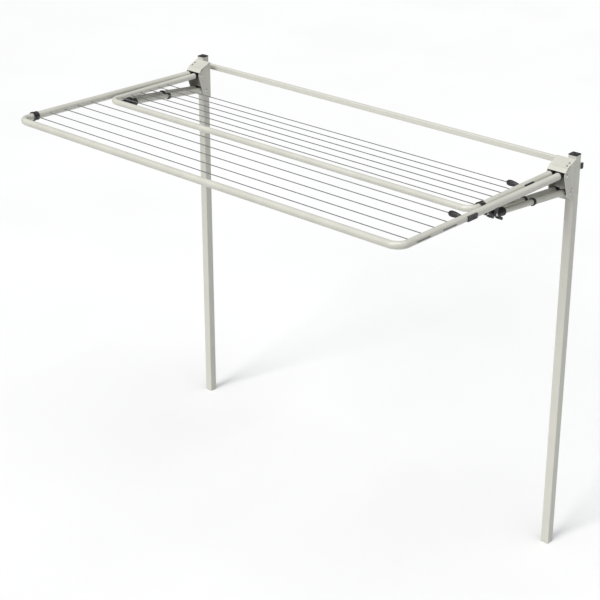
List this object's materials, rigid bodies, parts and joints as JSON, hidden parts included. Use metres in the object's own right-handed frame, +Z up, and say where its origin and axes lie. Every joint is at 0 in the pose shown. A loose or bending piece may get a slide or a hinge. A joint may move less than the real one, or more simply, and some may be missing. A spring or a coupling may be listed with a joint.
{
  "type": "fold-down drying rack",
  "caption": "Drying rack with an outer and an inner line frame that fold down from hinge brackets on two square posts, each held open by telescopic struts.",
  "frame": {"origin": "midway between the two post feet, on the plane they stand on, at the posts' centre", "axes": "+X along the rack to the right seen from the front, -Y out from the posts towards the front rail, +Z up"},
  "size_m": [2.248, 1.2431, 1.924],
  "materials": {
    "cream_powder_coat": "satin cream powder coat on galvanised steel",
    "black_plastic": "fine-grained black moulded nylon",
    "zinc_steel": "zinc plated",
    "drying_line": "grey vinyl-covered line"
  },
  "bodies": {
    "stand": {"post_left": "cream_powder_coat", "post_right": "cream_powder_coat", "post_caps": "black_plastic", "back_bar": "cream_powder_coat", "bar_end_caps": "black_plastic", "bar_bolts": "zinc_steel", "bracket_left": "cream_powder_coat", "bracket_right": "cream_powder_coat", "bracket_bolts": "zinc_steel", "arm_pivot_pins": "zinc_steel", "strut_pivot_pins": "zinc_steel", "pivot_spacers": "black_plastic"},
    "outer_frame": {"outer_rail": "cream_powder_coat", "outer_left_arm": "cream_powder_coat", "outer_right_arm": "cream_powder_coat", "outer_corner_collar": "black_plastic", "outer_arm_knuckles": "black_plastic", "outer_line_passes": "drying_line", "outer_line_loops": "drying_line", "outer_line_tensioner": "black_plastic", "outer_tensioner_plate": "black_plastic", "outer_strut_saddles": "black_plastic", "outer_saddle_pins": "zinc_steel"},
    "outer_left_strut": {"outer_left_strut_tube": "cream_powder_coat", "outer_left_strut_knuckle": "black_plastic", "outer_left_strut_collar": "black_plastic"},
    "outer_left_rod": {"outer_left_strut_rod": "cream_powder_coat", "outer_left_strut_head": "black_plastic"},
    "outer_left_lever": {"outer_left_release_lever": "black_plastic"},
    "outer_right_strut": {"outer_right_strut_tube": "cream_powder_coat", "outer_right_strut_knuckle": "black_plastic", "outer_right_strut_collar": "black_plastic"},
    "outer_right_rod": {"outer_right_strut_rod": "cream_powder_coat", "outer_right_strut_head": "black_plastic"},
    "outer_right_lever": {"outer_right_release_lever": "black_plastic"},
    "inner_frame": {"inner_rail": "cream_powder_coat", "inner_left_arm": "cream_powder_coat", "inner_right_arm": "cream_powder_coat", "inner_corner_collar": "black_plastic", "inner_arm_knuckles": "black_plastic", "inner_line_passes": "drying_line", "inner_line_loops": "drying_line", "inner_line_tensioner": "black_plastic", "inner_tensioner_plate": "black_plastic", "inner_strut_saddles": "black_plastic", "inner_saddle_pins": "zinc_steel"},
    "inner_left_strut": {"inner_left_strut_tube": "cream_powder_coat", "inner_left_strut_knuckle": "black_plastic", "inner_left_strut_collar": "black_plastic"},
    "inner_left_rod": {"inner_left_strut_rod": "cream_powder_coat", "inner_left_strut_head": "black_plastic"},
    "inner_left_lever": {"inner_left_release_lever": "black_plastic"},
    "inner_right_strut": {"inner_right_strut_tube": "cream_powder_coat", "inner_right_strut_knuckle": "black_plastic", "inner_right_strut_collar": "black_plastic"},
    "inner_right_rod": {"inner_right_strut_rod": "cream_powder_coat", "inner_right_strut_head": "black_plastic"},
    "inner_right_lever": {"inner_right_release_lever": "black_plastic"}
  },
  "joints": [
    {"name": "outer_fold", "type": "hinge", "parent": "stand", "child": "outer_frame", "pos_m": [0, -0.084, 1.85], "axis": [1, 0, 0], "range_deg": [0, 88.5]},
    {"name": "outer_left_strut_swing", "type": "hinge", "parent": "stand", "child": "outer_left_strut", "pos_m": [-1.094, -0.051, 1.764], "axis": [1, 0, 0], "range_deg": [0, 93.75]},
    {"name": "outer_left_strut_slide", "type": "slide", "parent": "outer_left_strut", "child": "outer_left_rod", "axis": [0, -0.9933, 0.1154], "range_m": [-0.1217, 0]},
    {"name": "outer_left_lever_press", "type": "hinge", "parent": "outer_left_rod", "child": "outer_left_lever", "pos_m": [-1.094, -0.54447, 1.80017], "axis": [1, 0, 0], "range_deg": [0, 7], "stiffness_Nm_per_rad": 0.4, "springref_deg": -8.59},
    {"name": "outer_right_strut_swing", "type": "hinge", "parent": "stand", "child": "outer_right_strut", "pos_m": [1.094, -0.051, 1.764], "axis": [1, 0, 0], "range_deg": [0, 93.75]},
    {"name": "outer_right_strut_slide", "type": "slide", "parent": "outer_right_strut", "child": "outer_right_rod", "axis": [0, -0.9933, 0.1154], "range_m": [-0.1217, 0]},
    {"name": "outer_right_lever_press", "type": "hinge", "parent": "outer_right_rod", "child": "outer_right_lever", "pos_m": [1.094, -0.54447, 1.80017], "axis": [1, 0, 0], "range_deg": [0, 7], "stiffness_Nm_per_rad": 0.4, "springref_deg": -8.59},
    {"name": "inner_fold", "type": "hinge", "parent": "stand", "child": "inner_frame", "pos_m": [0, -0.084, 1.85], "axis": [1, 0, 0], "range_deg": [0, 87.8]},
    {"name": "inner_left_strut_swing", "type": "hinge", "parent": "stand", "child": "inner_left_strut", "pos_m": [-1.052, -0.051, 1.764], "axis": [1, 0, 0], "range_deg": [0, 93.11]},
    {"name": "inner_left_strut_slide", "type": "slide", "parent": "inner_left_strut", "child": "inner_left_rod", "axis": [0, -0.9946, 0.1042], "range_m": [-0.1207, 0]},
    {"name": "inner_left_lever_press", "type": "hinge", "parent": "inner_left_rod", "child": "inner_left_lever", "pos_m": [-1.052, -0.54385, 1.79452], "axis": [1, 0, 0], "range_deg": [0, 7], "stiffness_Nm_per_rad": 0.4, "springref_deg": -8.59},
    {"name": "inner_right_strut_swing", "type": "hinge", "parent": "stand", "child": "inner_right_strut", "pos_m": [1.052, -0.051, 1.764], "axis": [1, 0, 0], "range_deg": [0, 93.11]},
    {"name": "inner_right_strut_slide", "type": "slide", "parent": "inner_right_strut", "child": "inner_right_rod", "axis": [0, -0.9946, 0.1042], "range_m": [-0.1207, 0]},
    {"name": "inner_right_lever_press", "type": "hinge", "parent": "inner_right_rod", "child": "inner_right_lever", "pos_m": [1.052, -0.54385, 1.79452], "axis": [1, 0, 0], "range_deg": [0, 7], "stiffness_Nm_per_rad": 0.4, "springref_deg": -8.59}
  ],
  "couplings": [
    {"joint": "outer_left_strut_swing", "follows": "outer_fold", "ratio": 1.0588},
    {"joint": "outer_left_strut_slide", "follows": "outer_fold", "m_per_rad": -0.078662},
    {"joint": "outer_right_strut_swing", "follows": "outer_fold", "ratio": 1.0588},
    {"joint": "outer_right_strut_slide", "follows": "outer_fold", "m_per_rad": -0.078662},
    {"joint": "inner_left_strut_swing", "follows": "inner_fold", "ratio": 1.0599},
    {"joint": "inner_left_strut_slide", "follows": "inner_fold", "m_per_rad": -0.078637},
    {"joint": "inner_right_strut_swing", "follows": "inner_fold", "ratio": 1.0599},
    {"joint": "inner_right_strut_slide", "follows": "inner_fold", "m_per_rad": -0.078637}
  ]
}
